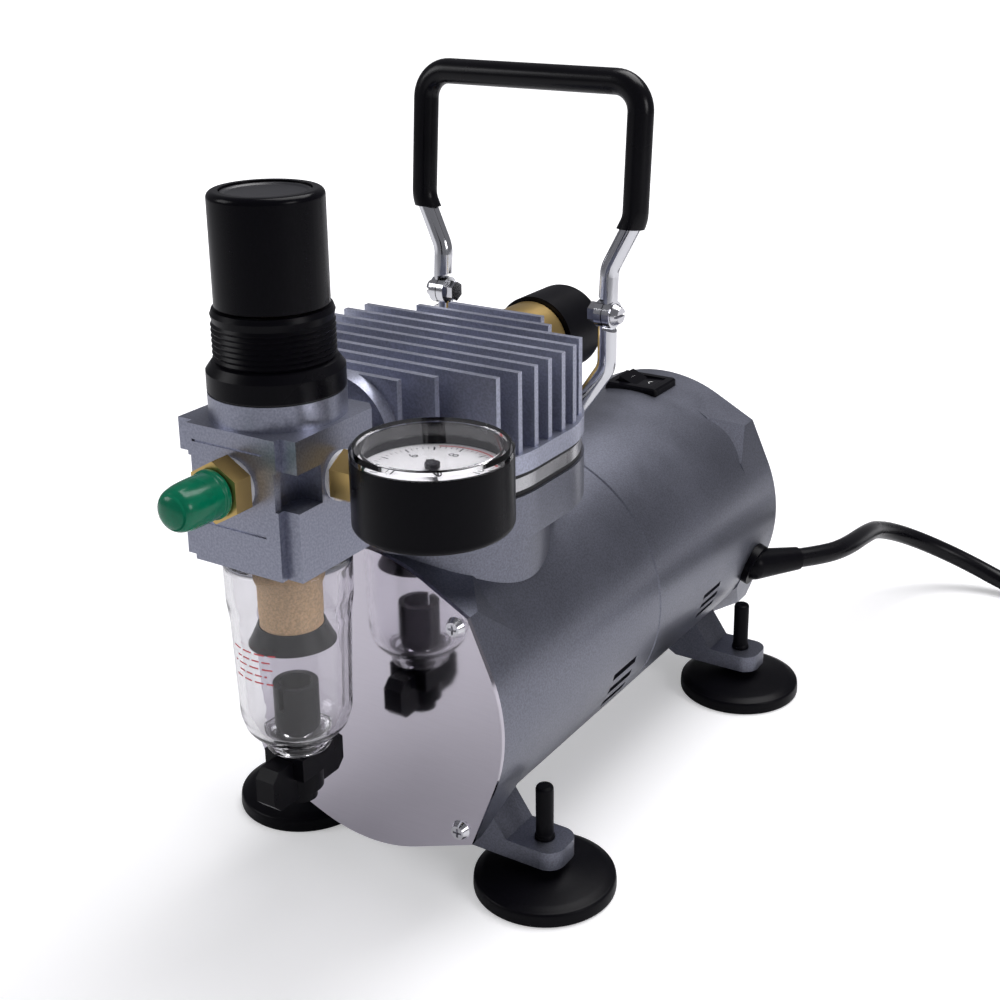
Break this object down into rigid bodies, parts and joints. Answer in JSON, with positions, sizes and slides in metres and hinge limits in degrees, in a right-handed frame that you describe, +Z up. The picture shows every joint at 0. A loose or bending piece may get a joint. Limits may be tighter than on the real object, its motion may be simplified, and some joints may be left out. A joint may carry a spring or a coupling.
{
  "type": "airbrush compressor",
  "caption": "Silver single-cylinder airbrush compressor with filter regulator, pressure gauge, folding carry handle, suction feet and mains lead.",
  "frame": {"origin": "centre of the base of the compressor's box, at the height of the feet's soles", "axes": "+Z up, +Y along the motor's shaft towards the rear cover, +X to the gauge's side"},
  "size_m": [0.3181, 0.4692, 0.2448],
  "materials": {
    "silver_paint": "fine metallic silver paint",
    "black_cover": "silver painted cover with slots",
    "polished_plate": "polished sheet",
    "screw_chrome": "bright plated",
    "chrome": "bright chrome",
    "bore_steel": "ground steel",
    "gasket_black": "black gasket sheet",
    "piston_alloy": "machined alloy",
    "motor_core": "stacked laminations",
    "copper_winding": "lacquered copper wire",
    "black_plastic": "satin black",
    "black_rubber": "black rubber",
    "brass": "machined brass",
    "white_tape": "wound seal tape",
    "green_cap": "green vinyl cap",
    "dial_white": "printed white dial",
    "needle_dark": "dark needle",
    "clear_plastic": "clear moulding",
    "filter_tan": "sintered tan element"
  },
  "bodies": {
    "base": {"baffle": "black_plastic", "bearings": "bore_steel", "case_screws": "screw_chrome", "coil_tie": "black_rubber", "cord_coil": "black_rubber", "cylinder_head": "silver_paint", "cylinder_sleeve": "bore_steel", "diaphragm": "gasket_black", "filter_bowl": "clear_plastic", "filter_element": "filter_tan", "foot_front_left": "black_rubber", "foot_front_right": "black_rubber", "foot_rear_left": "black_rubber", "foot_rear_right": "black_rubber", "front_housing": "silver_paint", "front_plate": "polished_plate", "gauge_case": "black_plastic", "gauge_dial": "dial_white", "gauge_lens": "clear_plastic", "gauge_stem": "brass", "handle_bracket": "chrome", "handle_pivots": "screw_chrome", "handle_saddle": "black_plastic", "head_bolts": "screw_chrome", "head_gaskets": "gasket_black", "intake_filter": "black_rubber", "intake_nut": "brass", "mains_plug": "black_rubber", "outlet_fitting": "brass", "outlet_nipple": "screw_chrome", "power_cord": "black_rubber", "rear_bracket": "piston_alloy", "rear_cover": "black_cover", "rear_housing": "silver_paint", "regulator_body": "silver_paint", "regulator_bonnet": "black_plastic", "regulator_spring": "bore_steel", "seal_tapes": "white_tape", "stator": "motor_core", "stator_windings": "copper_winding", "strain_relief": "black_rubber", "switch_bezel": "black_plastic", "valve_plate": "bore_steel"},
    "handle": {"handle_rod": "chrome", "handle_grip": "black_rubber"},
    "switch": {"switch_rocker": "black_plastic"},
    "pressure_screw": {"adjusting_screw": "brass"},
    "knob": {"adjusting_knob": "black_plastic"},
    "needle": {"gauge_needle": "needle_dark"},
    "drain": {"drain_valve": "black_plastic", "drain_cock": "black_plastic"},
    "cap": {"dust_cap": "green_cap"},
    "shaft": {"motor_shaft": "bore_steel", "rotor": "motor_core", "cooling_fan": "black_plastic", "crank_web": "bore_steel"},
    "piston": {"piston": "piston_alloy", "piston_ring": "bore_steel", "wrist_pin": "bore_steel"},
    "rod": {"connecting_rod": "piston_alloy"}
  },
  "joints": [
    {"name": "handle_fold", "type": "hinge", "parent": "base", "child": "handle", "pos_m": [0, 0.02945, 0.1679], "axis": [-1, 0, 0], "range_deg": [0, 100]},
    {"name": "switch_rock", "type": "hinge", "parent": "base", "child": "switch", "pos_m": [0, 0.11535, 0.11367], "axis": [0, -1, 0], "range_deg": [0, 20]},
    {"name": "pressure_turn", "type": "hinge", "parent": "base", "child": "pressure_screw", "pos_m": [0, -0.09435, 0.1952], "axis": [0, 0, 1], "range_deg": [0, 1080]},
    {"name": "knob_lift", "type": "slide", "parent": "pressure_screw", "child": "knob", "axis": [0, 0, 1], "range_m": [0, 0.003]},
    {"name": "gauge_sweep", "type": "hinge", "parent": "base", "child": "needle", "pos_m": [0.0495, -0.09405, 0.1576], "axis": [0, 0, -1], "range_deg": [0, 270]},
    {"name": "drain_turn", "type": "hinge", "parent": "base", "child": "drain", "pos_m": [0, -0.09435, 0.065], "axis": [0, 0, 1], "range_deg": [0, 90]},
    {"name": "cap_pull", "type": "slide", "parent": "base", "child": "cap", "axis": [0, -1, 0], "range_m": [0, 0.03]},
    {"name": "shaft_spin", "type": "hinge", "parent": "base", "child": "shaft", "pos_m": [0, -0.00315, 0.0653], "axis": [0, 1, 0], "continuous": true},
    {"name": "piston_slide", "type": "slide", "parent": "base", "child": "piston", "axis": [0, 0, 1], "range_m": [-0.012, 0]},
    {"name": "rod_swing", "type": "hinge", "parent": "piston", "child": "rod", "pos_m": [0, -0.02565, 0.1223], "axis": [0, 1, 0], "range_deg": [-6.6, 6.6]}
  ]
}
